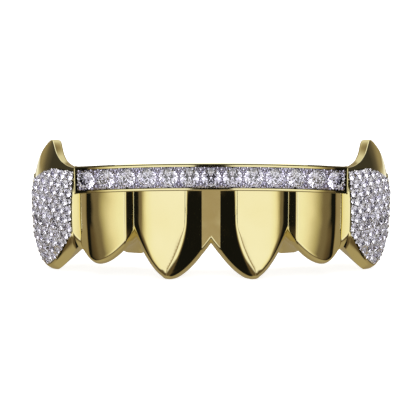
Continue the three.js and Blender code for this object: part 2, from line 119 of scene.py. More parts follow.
# Grains of metal between the stones: height, stem and share of the dome for a radius of 1
BEAD_HEIGHT = 0.9
BEAD_STEM = 0.25
BEAD_DOME = 0.86
RAIL_BEAD_SIDES, RAIL_BEAD_ROWS = 12, 4
PAVE_BEAD_SIDES, PAVE_BEAD_ROWS = 8, 3
GRAIN_SEED = 3
GRAIN_STEP = 0.12
GRAIN_OVERLAP = 0.08
GRAIN_JITTER = 0.01
GRAIN_CLOSENESS = 0.9
GRAIN_SMALLEST = 0.12
RAIL_GRAIN_LARGEST = 0.3
PAVE_GRAIN_LARGEST = 0.46
FILLER_STONE = 0.25

# Fins above the canine caps
FIN_PEAK = 16.7
FIN_TIP_EXTRA = 0.08
FIN_TIP_ROUND = 1.1
FIN_START = 13.75
FIN_MESIAL_RISE = 2.5
FIN_DISTAL_FALL = 2.0
FIN_END_HEIGHT = 11.6
FIN_ROUND = 0.62
FIN_BEVEL = 0.1
FIN_SLANT = 0.2
FIN_ROUND_FROM, FIN_ROUND_TO = 17.5, 20.2

# Fields of small stones on the canine caps
PAVE_MESIAL = 17.1
PAVE_DISTAL = 22.25
PAVE_TOP = 13.3
PAVE_DROP_FROM, PAVE_DROP_BY = 19.2, 2.2
PAVE_LEDGE = 0.1
PAVE_THICKNESS = 0.7
PAVE_PROUD = 0.08
PAVE_PITCH = 1.24
PAVE_STONE_RADIUS = 0.58
PAVE_SIZES = (0.96, 1.08)
PAVE_MARGIN = 0.62
PAVE_SIDE_MARGIN = 0.5
PAVE_FAR_MARGIN = 0.25
PAVE_ROW_SHIFT = 0.5
PAVE_SEED = 5
PAVE_LEAN = 0.14
NEARBY = 0.05
# Seat of a small stone: radius and height in shares of the stone's radius
PAVE_SEAT = ((HAIR, -0.95), (1.01, -0.06), (1.01, 2.0))
PAVE_SEAT_SIDES = 20

# Crowns from the midline outwards: centre, side and canine
CENTRE, SIDE = 0, 1
CROWN_START = (0.0, CENTRE_END, SIDE_END)
CREST = (0.3, 0.2, 0.45)
TIP_INSET = (0.75, 1.15, 0.8)
TOP_INSET = (0.25, 0.25, 1.75)
INSET_POWER = 2.0
# Where the outer sides of the centre and canine crowns turn back, and how far by their ends
CENTRE_TURN, CENTRE_TURN_FALL = 7.2, 0.318
CANINE_TURN, CANINE_TURN_FALL = 21.6, 0.6
# Soft shoulder along the outer side of each fang
SHOULDER_START = 0.95
SHOULDER_ROUND = 0.5
SHOULDER_SLOPE = 0.27
SHOULDER_FADE = 0.6
# Inner sides of the fangs: a curved ridge, and a valley at the midline
RIDGE_TIP = 6.0
RIDGE_TOP = 3.05
RIDGE_HEIGHT = 8.0
RIDGE_POWER = 1.8
RIDGE_ROUND = 0.16
RIDGE_LOW_ROUND = 0.28
VALLEY_HALF_WIDTH = 1.15
VALLEY_DEPTH = 0.92
VALLEY_LEAN = 0.1
VALLEY_HEIGHT = 12.0
PANEL_TILT = 0.05
# Shallow strip beside the lower part of the ridge
STRIP_WIDTH = 1.15
STRIP_ROUND = 0.35
STRIP_TURN = 0.012
STRIP_START, STRIP_FULL = 7.4, 5.6
# Facets of the side crowns, the groove beside them and the chamfer of the canine crowns
SIDE_FACET_START = 10.55
SIDE_FACET_SLOPE = 0.84
SIDE_FACET_ROUND = 0.1
CREASE_FLAT = 0.09
OUTER_FACET_START = 15.15
OUTER_FACET_SLOPE = 0.32
OUTER_FACET_ROUND = 0.3
GROOVE_START = 16.32
GROOVE_SLOPE = 0.35
GROOVE_ROUND = 0.08
CANINE_CHAMFER = 1.27
CHAMFER_ROUND = 0.06

# Lower outline: tip x and z, notch x and z, power, rolled band at the tip and at the notch
LOWER_EDGE = (
    (FANG_TIP, -TIP_FLAT, 0.0, 4.4, 1.65, 0.7, 0.6),
    (FANG_TIP, -TIP_FLAT, CENTRE_END, 5.3, 1.75, 0.7, 0.7),
    (SIDE_TIP, 1.55, CENTRE_END, 5.3, 1.75, 0.8, 0.8),
    (SIDE_TIP, 1.55, CANINE_START, 3.5, 1.95, 0.8, 1.0),
    (CANINE_TIP, -TIP_FLAT, CANINE_START, 3.75, 1.5, 0.8, 1.2),
    (CANINE_TIP, -TIP_FLAT, ARCH_END, 5.2, 2.8, 0.8, 0.3),
)
EDGE_FALL = 0.9
EDGE_POWER = (1.6, 2.0, 1.4)
TALLEST_BAND = 2.6

# Lower edge of the back wall: station, height
HEEL = (
    (0.0, 3.8),
    (4.5, 2.5),
    (8.2, 2.8),
    (10.6, 1.75),
    (12.9, 1.75),
    (16.8, 4.8),
    (19.7, 4.0),
    (ARCH_END, 5.2),
)
# How far the underside arches up between its edges: station, height
UNDERSIDE_LIFT = (
    (0.0, -0.15),
    (8.4, -0.15),
    (10.5, 0.9),
    (12.5, 1.0),
    (14.5, 0.5),
    (16.8, -0.15),
    (ARCH_END, -0.15),
)

# Hollow: station, front wall, floor
HOLLOW_ROUND = 0.6
RIM_SLANT = 0.3
HOLLOW = (
    (0.0, -2.3, 6.0),
    (4.8, -1.05, 3.7),
    (8.0, -1.15, 5.6),
    (9.9, -2.4, 7.5),
    (11.6, -1.25, 5.6),
    (14.0, -1.15, 3.8),
    (17.0, -2.3, 6.2),
    (18.9, -1.0, 5.2),
    (ARCH_END, -1.15, 6.4),
)

# Rounded rims, and the fineness of the meshes
LIP_ROUND = 0.3
RIM_ROUND = 0.14
END_ROUND = 0.22
STATION_STEP = 0.12
WALK_STEPS = 2000
FACE_ROWS = 36
ROLL_ROWS = 10
UNDER_ROWS = 8
WALL_ROWS = 6
ARC_STEPS = 5
CORNER_STEPS = 4
FIELD_COLUMNS, FIELD_ROWS = 48, 60
# Edges that turn by more degrees than this stay sharp
CASTING_SHARP = 24
SETTING_SHARP = 35
SAME_DIRECTION = 0.9999


# Curves along the arch

def smooth(value, low, high):
    """Zero up to low and one from high on, eased between them."""
    share = min(1.0, max(0.0, (value - low) / (high - low)))
    return share * share * (3 - 2 * share)


def lerp(a, b, share):
    return a + (b - a) * share


def spaced(low, high, count):
    """Values from low to high in a number of even steps."""
    return [lerp(low, high, i / count) for i in range(count + 1)]


def ramp(value, width):
    """Zero before zero and the value after it, rounded over a width to either side."""
    if value <= -width:
        return 0.0
    if value >= width:
        return value
    return (value + width) ** 2 / (4 * width)


def arch_slope(x):
    """How steeply the arch runs back at a station."""
    share = abs(x) / ARCH_HALF_WIDTH
    left = 1 - share ** ARCH_POWER
    steepness = share ** (ARCH_POWER - 1) * left ** (1 / ARCH_POWER - 1)
    return math.copysign(steepness, x) * ARCH_DEPTH / ARCH_HALF_WIDTH


def arch_point(x, n, z):
    """The point at a station, an offset out from the arch and a height."""
    share = abs(x) / ARCH_HALF_WIDTH
    depth = ARCH_DEPTH * (1 - (1 - share ** ARCH_POWER) ** (1 / ARCH_POWER))
    slope = arch_slope(x)
    length = math.hypot(1, slope)
    return Vector((x + n * slope / length, depth - n / length, z))


def along(table, column, x):
    """A column of a table at a station, eased between the rows."""
    distance = min(abs(x), table[-1][0])
    following = next(i for i in range(1, len(table)) if table[i][0] >= distance)
    a, b = table[following - 1], table[following]
    return lerp(a[column], b[column], smooth(distance, a[0], b[0]))


def lower_side(x):
    """The row of the lower outline at a station, and the share of the way from tip to notch."""
    distance = abs(x)
    for row in LOWER_EDGE:
        if (distance - row[0]) * (distance - row[2]) <= 0:
            return row, abs((distance - row[0]) / (row[2] - row[0]))
    return LOWER_EDGE[-1], 1.0


def lower_edge(x):
    (_, tip_z, _, notch_z, power, _, _), share = lower_side(x)
    return tip_z + (notch_z - tip_z) * share ** power


def edge_stretch(x):
    """Height on the face that one millimetre across the lower edge takes."""
    (tip_x, tip_z, notch_x, notch_z, power, _, _), share = lower_side(x)
    rise = power * share ** (power - 1) * (notch_z - tip_z)
    return math.hypot(1, rise / (notch_x - tip_x))


def band_height(x):
    """Height of the margin that rolls back to the lower edge."""
    (_, _, _, _, _, tip_band, notch_band), share = lower_side(x)
    return min(lerp(tip_band, notch_band, share) * edge_stretch(x), TALLEST_BAND)


def bar_top(x):
    return BAR_TOP - BAR_DROP * (abs(x) / BAR_END) ** BAR_DROP_POWER


def top_edge(x):
    """Top of the casting: inside the channel, and along the fin on a canine cap."""
    distance = abs(x)
    if distance < CANINE_START:
        return bar_top(x) - BAR_RISE
    share = (distance - CANINE_START) / (CANINE_TIP - CANINE_START)
    rise = FIN_START + (FIN_PEAK - FIN_START) * share ** FIN_MESIAL_RISE
    past = max(0.0, distance - CANINE_TIP) / (ARCH_END - CANINE_TIP)
    fall = FIN_PEAK + FIN_TIP_EXTRA - (FIN_PEAK - FIN_END_HEIGHT) * past ** FIN_DISTAL_FALL
    return rise - ramp(rise - fall, FIN_TIP_ROUND)


def lingual_top(x):
    return LINGUAL_TOP - LINGUAL_TOP_DROP * (abs(x) / ARCH_END) ** 2


# Faces of the crowns

def crown_index(x):
    return max(i for i, start in enumerate(CROWN_START) if abs(x) >= start)


def set_back(x, z):
    """How far a face leans back below and above its crest."""
    if z < CREST_HEIGHT:
        return TIP_INSET[crown_index(x)] * ((CREST_HEIGHT - z) / CREST_HEIGHT) ** INSET_POWER
    share = min(1.0, (z - CREST_HEIGHT) / (FIN_PEAK - CREST_HEIGHT))
    return TOP_INSET[crown_index(x)] * share ** INSET_POWER


def turned_back(distance, start, end, fall):
    past = max(0.0, distance - start) / (end - start)
    return fall * past * past


def centre_fall(distance, z):
    """How far a centre crown falls back from its ridge, on both sides of it."""
    below = min(1.0, max(0.0, 1 - z / RIDGE_HEIGHT))
    ridge = RIDGE_TOP + (RIDGE_TIP - RIDGE_TOP) * below ** RIDGE_POWER
    low = 1 - smooth(z, STRIP_FULL, STRIP_START)
    width = lerp(RIDGE_ROUND, RIDGE_LOW_ROUND, low)
    inner = ramp(ridge - distance, width) - max(0.0, VALLEY_HALF_WIDTH - distance)
    depth = VALLEY_DEPTH + VALLEY_LEAN * (VALLEY_HEIGHT - z)
    slope = depth / (ridge - VALLEY_HALF_WIDTH)
    from_edge = (z - lower_edge(distance)) / edge_stretch(distance)
    shoulder = SHOULDER_SLOPE * ramp(SHOULDER_START - from_edge, SHOULDER_ROUND)
    outer = PANEL_TILT * ramp(distance - ridge, width)
    tilt = low * (PANEL_TILT + arch_slope(ridge) - STRIP_TURN)
    strip = tilt * ramp(STRIP_WIDTH - max(0.0, distance - ridge), STRIP_ROUND)
    return slope * inner + outer + strip + shoulder * smooth(distance, ridge, ridge + SHOULDER_FADE)


def side_fall(distance):
    """How far a side crown falls back on its inner side, its outer side and into the groove."""
    inner = SIDE_FACET_SLOPE * ramp(SIDE_FACET_START - distance, SIDE_FACET_ROUND)
    outer = OUTER_FACET_SLOPE * ramp(distance - OUTER_FACET_START, OUTER_FACET_ROUND)
    return inner + outer + GROOVE_SLOPE * ramp(distance - GROOVE_START, GROOVE_ROUND)


def crown_face(x, z):
    """Offset of the front face from the arch."""
    distance, index = abs(x), crown_index(x)
    if index == CENTRE:
        turned = turned_back(distance, CENTRE_TURN, CENTRE_END, CENTRE_TURN_FALL)
        return CREST[index] - turned - set_back(x, z) - centre_fall(distance, z)
    if index == SIDE:
        return CREST[index] - side_fall(max(distance, CENTRE_END + CREASE_FLAT)) - set_back(x, z)
    turned = turned_back(distance, CANINE_TURN, ARCH_END, CANINE_TURN_FALL)
    face = CREST[index] - turned - set_back(x, z)
    groove = CREST[SIDE] - side_fall(SIDE_END) - set_back(SIDE_END - NEARBY, z)
    rise = groove + CANINE_CHAMFER * (distance - SIDE_END)
    return rise - ramp(rise - face, CHAMFER_ROUND)


def hollow_front(x, z):
    """Offset of the hollow's front wall from the arch."""
    return along(HOLLOW, 1, x) - set_back(x, z)


# Meshes

# The arch's own y against the frame's, from the table of the middle stone
Y_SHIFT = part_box("stone_07")[0].y / MM + RAIL_FRONT + TABLE_HEIGHT * STONE_DIAMETER


def linked(name, data):
    made = bpy.data.objects.new(name, data)
    bpy.context.scene.collection.objects.link(made)
    return made


def make_object(name, vertices, faces, material=None):
    """An object from corners in millimetres about the arch's own origin."""
    mesh = bpy.data.meshes.new(name)
    mesh.from_pydata([(x * MM, (y + Y_SHIFT) * MM, z * MM) for x, y, z in vertices], [], faces)
    mesh.update()
    work = bmesh.new()
    work.from_mesh(mesh)
    bmesh.ops.recalc_face_normals(work, faces=work.faces)
    work.to_mesh(mesh)
    work.free()
    if material:
        mesh.materials.append(material)
    return linked(name, mesh)


def boolean(target, tool, operation):
    """Joins or cuts target with tool, which is then removed."""
    step = target.modifiers.new("cut", "BOOLEAN")
    step.operation, step.object, step.solver = operation, tool, "MANIFOLD"
    graph = bpy.context.evaluated_depsgraph_get()
    result = bpy.data.meshes.new_from_object(target.evaluated_get(graph))
    target.modifiers.clear()
    target.data = result
    bpy.data.objects.remove(tool)


def dress(made, material, sharp_angle):
    """Gives a piece one material and smooth shading between its sharp edges."""
    made.data.materials.clear()
    made.data.materials.append(material)
    made.data.shade_smooth()
    made.data.set_sharp_from_angle(angle=math.radians(sharp_angle))


def ring_faces(count, size):
    """Faces of a skin over rings of points, with both ends shut."""
    faces = []
    for level in range(count - 1):
        for i in range(size):
            a, b = level * size + i, level * size + (i + 1) % size
            faces.append((a, b, b + size, a + size))
    last = (count - 1) * size
    faces.append(tuple(range(size)))
    faces.append(tuple(range(last, last + size)))
    return faces


def loft(sections):
    """Corners and faces of a closed skin through (station, ring) pairs, with flat ends."""
    vertices = [arch_point(x, n, z) for x, ring in sections for n, z in ring]
    return vertices, ring_faces(len(sections), len(sections[0][1]))


def lathe(profile, sides):
    """Corners and faces of a profile of (radius, height) turned about Z."""
    vertices = []
    for radius, height in profile:
        for i in range(sides):
            angle = 2 * math.pi * i / sides
            vertices.append((radius * math.cos(angle), radius * math.sin(angle), height))
    return vertices, ring_faces(len(profile), sides)


def gathered(shape, matrices):
    """One set of corners and faces from many placed copies of a shape."""
    vertices, faces = [], []
    for matrix in matrices:
        base = len(vertices)
        vertices += [matrix @ Vector(v) for v in shape[0]]
        faces += [tuple(base + i for i in f) for f in shape[1]]
    return vertices, faces


def mirrored(shape, side):
    """The shape itself for side 1, and its mirror image for side -1."""
    return [(side * x, y, z) for x, y, z in shape[0]], shape[1]


def standing(origin, across, out):
    """Matrix of a stone whose Z axis looks out."""
    out = out.normalized()
    up = out.cross(across).normalized()
    side = up.cross(out).normalized()
    matrix = Matrix((side, up, out)).transposed().to_4x4()
    matrix.translation = origin
    return matrix


def scaled(matrix, size, spin=0.0):
    return matrix @ Matrix.Rotation(spin, 4, "Z") @ Matrix.Scale(size, 4)


# Rings of (offset, height) points and their rounded corners

def toward(start, end, distance):
    """The point a distance from start towards end, half way at most."""
    span = math.hypot(end[0] - start[0], end[1] - start[1])
    share = min(distance / span, 0.5) if span > 0 else 0.0
    return lerp(start[0], end[0], share), lerp(start[1], end[1], share)


def rounded_corner(a, corner, b):
    """Points on a small arc from a to b that bends towards a corner."""
    points = []
    for t in spaced(0, 1, CORNER_STEPS):
        u = 1 - t
        points.append(tuple(u * u * a[i] + 2 * u * t * corner[i] + t * t * b[i] for i in range(2)))
    return points


def softened(before, corner, after, radius):
    """A corner with its tip rounded off."""
    return rounded_corner(toward(corner, before, radius), corner, toward(corner, after, radius))


def softened_ring(corners, radii):
    """A ring with each corner rounded off by its own radius."""
    ring = []
    for i, (corner, radius) in enumerate(zip(corners, radii)):
        ring += softened(corners[i - 1], corner, corners[(i + 1) % len(corners)], radius)
    return ring


def inset(ring, depth):
    """A ring drawn in by a depth, for a rounded end."""
    count = len(ring)
    drawn = []
    for i, (n, z) in enumerate(ring):
        (an, az), (bn, bz) = ring[i - 1], ring[(i + 1) % count]
        tn, tz = bn - an, bz - az
        span = math.hypot(tn, tz) or 1.0
        drawn.append((n - tz / span * depth, z + tn / span * depth))
    return drawn


def rounded_ends(stations, ring_at, end, radius):
    """Sections with the two ends rounded over."""
    sections = [(x, ring_at(x)) for x in stations if abs(x) < end - radius - HAIR]
    turns = [math.sin(t * math.pi / 2) for t in spaced(0, 1, ARC_STEPS)]
    tail = [(end - radius + radius * s, radius * (1 - math.sqrt(max(0.0, 1 - s * s)))) for s in turns]
    right = [(x, inset(ring_at(x), depth)) for x, depth in tail]
    left = [(-x, inset(ring_at(-x), depth)) for x, depth in reversed(tail)]
    return left + sections + right


def rolled_margin(x, low, band):
    """The lower margin of the face, rolled back to the edge."""
    power = EDGE_POWER[crown_index(x)]
    points = []
    for share in spaced(0, 1, ROLL_ROWS)[1:]:
        z = low + band * (1 - share)
        points.append((crown_face(x, z) - EDGE_FALL * share ** power, z))
    return points


def underside(x, edge, low, heel):
    """From the lower edge back to the heel and round it."""
    heel_front = LINGUAL_OFFSET + HEEL_RADIUS
    points = []
    for share in spaced(0, 1, UNDER_ROWS)[1:]:
        lift = along(UNDERSIDE_LIFT, 1, x) * math.sin(share * math.pi)
        points.append((lerp(edge, heel_front, share), lerp(low, heel, share) + lift))
    for turn in spaced(0, math.pi / 2, ARC_STEPS)[1:]:
        n, z = heel_front - HEEL_RADIUS * math.sin(turn), heel + HEEL_RADIUS * (1 - math.cos(turn))
        points.append((n, z))
    return points


def hollow_inside(x, lip, rim_z):
    """From the back wall's inner edge, round the hollow, up the front wall to a height."""
    back = LINGUAL_OFFSET + LINGUAL_WALL
    closed = abs(x) > HOLLOW_END
    floor = lip - HAIR if closed else along(HOLLOW, 2, x)
    depth = HAIR if closed else HOLLOW_ROUND
    lip_round = HAIR / 10 if closed else LIP_ROUND
    wall_top = lip if closed else lip - LIP_ROUND
    corner = hollow_front(x, floor + depth)
    turns = spaced(0, math.pi / 2, ARC_STEPS)
    points = softened((LINGUAL_OFFSET, lip), (back, lip), (back, floor), lip_round)
    points += [(back, z) for z in spaced(wall_top, floor + depth, WALL_ROWS)[1:-1]]
    points += [(back + depth * (1 - math.cos(t)), floor + depth * (1 - math.sin(t))) for t in turns]
    points += [(lerp(back + depth, corner - depth, s), floor) for s in spaced(0, 1, UNDER_ROWS)[1:-1]]
    points += [(corner - depth * (1 - math.sin(t)), floor + depth * (1 - math.cos(t))) for t in turns]
    points += [(hollow_front(x, z), z) for z in spaced(floor + depth, rim_z, FACE_ROWS // 2)[1:]]
    return points


def casting_ring(x):
    """Down the face, along the underside, up the back wall and round the hollow to the rim."""
    top, low, band = top_edge(x), lower_edge(x), band_height(x)
    heel, lip = along(HEEL, 1, x), lingual_top(x)
    fin = smooth(abs(x), FIN_ROUND_FROM, FIN_ROUND_TO)
    face = [(crown_face(x, z), z) for z in spaced(top - FIN_BEVEL * fin, low + band, FACE_ROWS)]
    roll = rolled_margin(x, low, band)
    under = underside(x, roll[-1][0], low, heel)
    wall = [(LINGUAL_OFFSET, z) for z in spaced(heel + HEEL_RADIUS, lip - LIP_ROUND, WALL_ROWS)[1:-1]]
    outer_lip, inner_lip = (LINGUAL_OFFSET, lip), (LINGUAL_OFFSET + LINGUAL_WALL, lip)
    rim_n = hollow_front(x, top)
    rim_inner = (rim_n, top - lerp(RIM_SLANT, FIN_SLANT, fin) * (face[0][0] - rim_n))
    rim_round = lerp(RIM_ROUND, FIN_ROUND, fin)
    inside = hollow_inside(x, lip, rim_inner[1] - rim_round)
    ring = softened(rim_inner, face[0], face[1], RIM_ROUND) + face[1:] + roll + under + wall
    ring += softened(wall[-1], outer_lip, inner_lip, LIP_ROUND)
    ring += inside[:-1]
    ring += rounded_corner(inside[-1], rim_inner, toward(rim_inner, face[0], rim_round))
    return [(n, max(0.0, z)) for n, z in ring]


def bar_ring(x):
    top, low = bar_top(x), bar_top(x) - BAR_HEIGHT
    back_low = hollow_front(x, low) + BAR_INSET
    back_top = hollow_front(x, top) + BAR_INSET
    corners = [
        (back_top, top - BAR_SLANT * (BAR_FRONT - back_top)),
        (BAR_FRONT - TOP_BEVEL_DEPTH, top),
        (BAR_FRONT, top - TOP_BEVEL_HEIGHT),
        (BAR_FRONT, low + LOW_BEVEL_HEIGHT),
        (BAR_FRONT - LOW_BEVEL_DEPTH, low),
        (back_low, low),
    ]
    return softened_ring(corners, BAR_ROUNDS)


def rail_ring(x, front, grow):
    top = bar_top(x) - BAR_TOP_RIM - GAP + grow
    low = bar_top(x) - BAR_HEIGHT + BAR_LOW_RIM + GAP - grow
    back = RAIL_BACK - grow
    corners = [(front, top), (front, low), (back, low), (back, top)]
    return softened_ring(corners, [RAIL_ROUND] * len(corners))


# Stations

def both_sides(half):
    """Stations from the left end to the right, from those of the right half."""
    return [-x for x in reversed(half[1:])] + half


def casting_stations():
    marks = (
        0.0,
        VALLEY_HALF_WIDTH,
        FANG_TIP,
        CENTRE_END - HAIR,
        CENTRE_END,
        CENTRE_END + CREASE_FLAT,
        SIDE_TIP,
        SIDE_END - HAIR,
        SIDE_END,
        CANINE_START - HAIR,
        CANINE_START,
        PAVE_MESIAL,
        CANINE_TIP,
        HOLLOW_END,
        HOLLOW_END + HAIR,
        ARCH_END,
    )
    half = [0.0]
    for a, b in zip(marks, marks[1:]):
        half += spaced(a, b, max(1, round((b - a) / STATION_STEP)))[1:]
    return both_sides(half)


def even_stations(end):
    return both_sides(spaced(0, end, round(end / STATION_STEP)))


def walk(start, end, n):
    """Stations along the arch at an offset, each with the length travelled to it."""
    steps = spaced(start, end, WALK_STEPS)
    travelled = 0.0
    for a, b in zip(steps, steps[1:]):
        travelled += (arch_point(b, n, 0) - arch_point(a, n, 0)).length
        yield b, travelled


def pitched_stations(start, end, n, pitch):
    """Stations a pitch apart along the arch at an offset, without the first."""
    found = []
    for x, travelled in walk(start, end, n):
        if travelled >= pitch * (len(found) + 1):
            found.append(x)
    return found


def channel_stations():
    half = max(travelled for _, travelled in walk(0, BAR_END - BAR_END_RIM, RAIL_FRONT))
    found = pitched_stations(0, BAR_END, RAIL_FRONT, 2 * half / STONE_COUNT)
    return both_sides([0.0] + found[: (STONE_COUNT - 1) // 2])


def channel_seat(x, lift=0.0):
    """Matrix of a round stone at a station of the channel."""
    height = bar_top(x) - (BAR_HEIGHT + BAR_TOP_RIM - BAR_LOW_RIM) / 2 + lift
    origin = arch_point(x, RAIL_FRONT, height)
    out = arch_point(x, RAIL_FRONT + 1, height) - origin
    return standing(origin, Vector((-out.y, out.x, 0)), out)


# Field of small stones on a canine cap

def pave_top(x):
    past = max(0.0, x - PAVE_DROP_FROM) / (PAVE_DISTAL - PAVE_DROP_FROM)
    return PAVE_TOP - PAVE_DROP_BY * past * past


def pave_low(x):
    return lower_edge(x) + band_height(x) + PAVE_LEDGE


def pave_point(x, z):
    return arch_point(x, crown_face(x, z) + PAVE_PROUD, z)


def pave_frame(x, z):
    """Matrix of a small stone on a canine cap."""
    origin = pave_point(x, z)
    across = pave_point(x + NEARBY, z) - origin
    up = pave_point(x, z + NEARBY) - origin
    return standing(origin, across, across.cross(up))


def pave_slab(front, back, grow):
    """A slab that follows the cap, from an offset in front of its face to one behind it."""
    sections = []
    for x in spaced(PAVE_MESIAL - grow, PAVE_DISTAL + grow, FIELD_COLUMNS):
        heights = spaced(pave_top(x) + grow, pave_low(x) - grow, FIELD_ROWS)
        face = [(crown_face(x, z) + front, z) for z in heights]
        rear = [(crown_face(x, z) + back, z) for z in reversed(heights)]
        sections.append((x, face + rear))
    return loft(sections)


def pave_seats():
    """Stations and heights of the stones, in rows that shift to and fro."""
    row_height = PAVE_PITCH * math.sin(math.pi / 3)
    end = PAVE_DISTAL - PAVE_FAR_MARGIN
    seats, row = [], 0
    while row * row_height < PAVE_TOP:
        z = PAVE_TOP - PAVE_MARGIN - row * row_height
        start = PAVE_MESIAL + PAVE_SIDE_MARGIN + (row % 2) * PAVE_ROW_SHIFT
        room_above = PAVE_STONE_RADIUS if row == 0 else PAVE_MARGIN
        for x in [start] + pitched_stations(start, end, crown_face(start, z), PAVE_PITCH):
            if pave_low(x) + PAVE_MARGIN <= z <= pave_top(x) - room_above:
                seats.append((x, z))
        row += 1
    return seats


# Stones and grains

def brilliant(diameter):
    """Corners and facets of a round brilliant that looks out along Z."""
    vertices, level = [], {}
    for name, corners, turn, reach, height in CUT:
        first = len(vertices)
        level[name] = lambda i, first=first, corners=corners: first + i % corners
        for i in range(corners):
            angle = (i / corners + turn / STONE_SIDES) * 2 * math.pi
            radius = reach * diameter / 2
            vertices.append((radius * math.cos(angle), radius * math.sin(angle), height * diameter))
    table, star, upper = level["table"], level["star"], level["upper"]
    under, lower, culet = level["under"], level["lower"], level["culet"]
    facets = [tuple(table(k) for k in range(MAIN_FACETS))]
    for k in range(MAIN_FACETS):
        corner, middle, following = 2 * k, 2 * k + 1, 2 * k + 2
        facets.append((table(k), star(k), table(k + 1)))
        facets.append((table(k), star(k - 1), upper(corner), star(k)))
        facets.append((star(k), upper(corner), upper(middle)))
        facets.append((star(k), upper(middle), upper(following)))
        facets.append((culet(0), lower(k), under(corner), lower(k - 1)))
        facets.append((lower(k), under(middle), under(corner)))
        facets.append((lower(k), under(following), under(middle)))
    for k in range(STONE_SIDES):
        facets.append((upper(k), under(k), under(k + 1), upper(k + 1)))
    return vertices, facets


def bead(sides, rows):
    """A grain of metal of radius 1 pushed up beside a stone: a low dome on a sunk stem."""
    dome = [(math.cos(t), BEAD_HEIGHT * math.sin(t)) for t in spaced(0, math.pi / 2 * BEAD_DOME, rows)]
    return lathe([(1.0, -BEAD_STEM * BEAD_HEIGHT)] + dome, sides)


def packed(places, largest):
    """Grains that fill the roomiest places first: (where, radius) from (room, where, point)."""
    chance = np.random.default_rng(GRAIN_SEED)
    ranked = sorted(places, key=lambda place: -place[0] - GRAIN_JITTER * chance.random())
    kept = []
    for room, where, point in ranked:
        radius = min(largest, room + GRAIN_OVERLAP)
        if radius < GRAIN_SMALLEST:
            continue
        if all((point - other).length > GRAIN_CLOSENESS * (radius + size) for other, _, size in kept):
            kept.append((point, where, radius))
    return [(where, radius) for _, where, radius in kept]


def rail_grains():
    """Grains of metal between the round stones, the same on both sides."""
    half_height = (BAR_HEIGHT - BAR_TOP_RIM - BAR_LOW_RIM) / 2 - GAP
    end = BAR_END - BAR_END_RIM - GAP
    stones = [channel_seat(x).translation for x in channel_stations()]
    places = []
    for x in np.arange(GRAIN_STEP / 2, end, GRAIN_STEP):
        for lift in np.arange(-half_height, half_height, GRAIN_STEP):
            point = channel_seat(x, lift).translation
            room = min((point - stone).length for stone in stones) - STONE_DIAMETER / 2
            places.append((min(room, half_height - abs(lift), end - x), (x, lift), point))
    kept = packed(places, RAIL_GRAIN_LARGEST)
    return [scaled(channel_seat(side * x, lift), size) for (x, lift), size in kept for side in (1, -1)]


def pave_grains(seats):
    """Places and sizes of what fills the bare metal between the small stones."""
    stones = [pave_point(*seat) for seat in seats]
    places = []
    for x in np.arange(PAVE_MESIAL + GRAIN_STEP / 2, PAVE_DISTAL, GRAIN_STEP):
        for z in np.arange(pave_low(x), pave_top(x), GRAIN_STEP):
            edge = min(z - pave_low(x), pave_top(x) - z, x - PAVE_MESIAL, PAVE_DISTAL - x)
            point = pave_point(x, z)
            room = min((point - stone).length for stone in stones) - PAVE_STONE_RADIUS
            places.append((min(room, edge), (x, z), point))
    return packed(places, PAVE_GRAIN_LARGEST)


def pave_places():
    """Matrices of the small stones and of the grains between them, for the right field."""
    chance = np.random.default_rng(PAVE_SEED)
    seats = pave_seats()
    spots, grains = [], []
    for x, z in seats:
        spin = chance.uniform(0, math.pi)
        size = PAVE_STONE_RADIUS * chance.uniform(*PAVE_SIZES)
        lean = Matrix.Rotation(chance.normal(0, PAVE_LEAN), 4, "X")
        lean = lean @ Matrix.Rotation(chance.normal(0, PAVE_LEAN), 4, "Y")
        spots.append(scaled(pave_frame(x, z) @ lean, size, spin))
    for (x, z), size in pave_grains(seats):
        if size < FILLER_STONE:
            grains.append(scaled(pave_frame(x, z), size))
        else:
            spots.append(scaled(pave_frame(x, z), size - GRAIN_OVERLAP / 2, chance.uniform(0, math.pi)))
    return spots, grains


# Materials

# Noise lies mostly between these values
NOISE_LOW, NOISE_HIGH = 0.3, 0.7
GOLD_TINTS = ((0.87, 0.78, 0.40), (0.89, 0.81, 0.45))
WHITE_TINTS = ((0.92, 0.91, 0.99), (0.99, 0.99, 1.0))
# Darker, bluer copy of the white metal for the channel rail: painted shade standing in for the shadow
# among and behind the stones
PAINTED_SHADE_TINTS = ((0.48, 0.45, 0.58), (0.72, 0.70, 0.80))
STONE_TINTS = ((0.76, 0.72, 0.92), (1.0, 1.0, 1.0))
SMALL_STONE_TINTS = ((0.86, 0.83, 1.0), (1.0, 1.0, 1.0))
FLOOR_TINTS = ((0.38, 0.38, 0.38), (0.40, 0.40, 0.40))
STONE_IOR = 2.1


def new_material(name):
    material = bpy.data.materials.new(name)
    material.use_nodes = True
    tree = material.node_tree
    shader = next(n for n in tree.nodes if n.type == "BSDF_PRINCIPLED")
    return material, tree, shader


def noise(tree, scale, detail=3.0):
    where = tree.nodes.new("ShaderNodeTexCoord")
    pattern = tree.nodes.new("ShaderNodeTexNoise")
    pattern.inputs["Scale"].default_value = scale
    pattern.inputs["Detail"].default_value = detail
    tree.links.new(where.outputs["Object"], pattern.inputs["Vector"])
    return pattern.outputs["Fac"]


def colour_ramp(tree, source, stops):
    node = tree.nodes.new("ShaderNodeValToRGB")
    elements = node.color_ramp.elements
    while len(elements) < len(stops):
        elements.new(0.5)
    for element, (position, colour) in zip(elements, stops):
        element.position = position
        element.color = (*colour, 1)
    tree.links.new(source, node.inputs["Fac"])
    return node.outputs["Color"]


def add_tint(tree, shader, source, tints):
    """Base colour that wanders between two tints."""
    colour = colour_ramp(tree, source, list(zip((NOISE_LOW, NOISE_HIGH), tints)))
    tree.links.new(colour, shader.inputs["Base Color"])


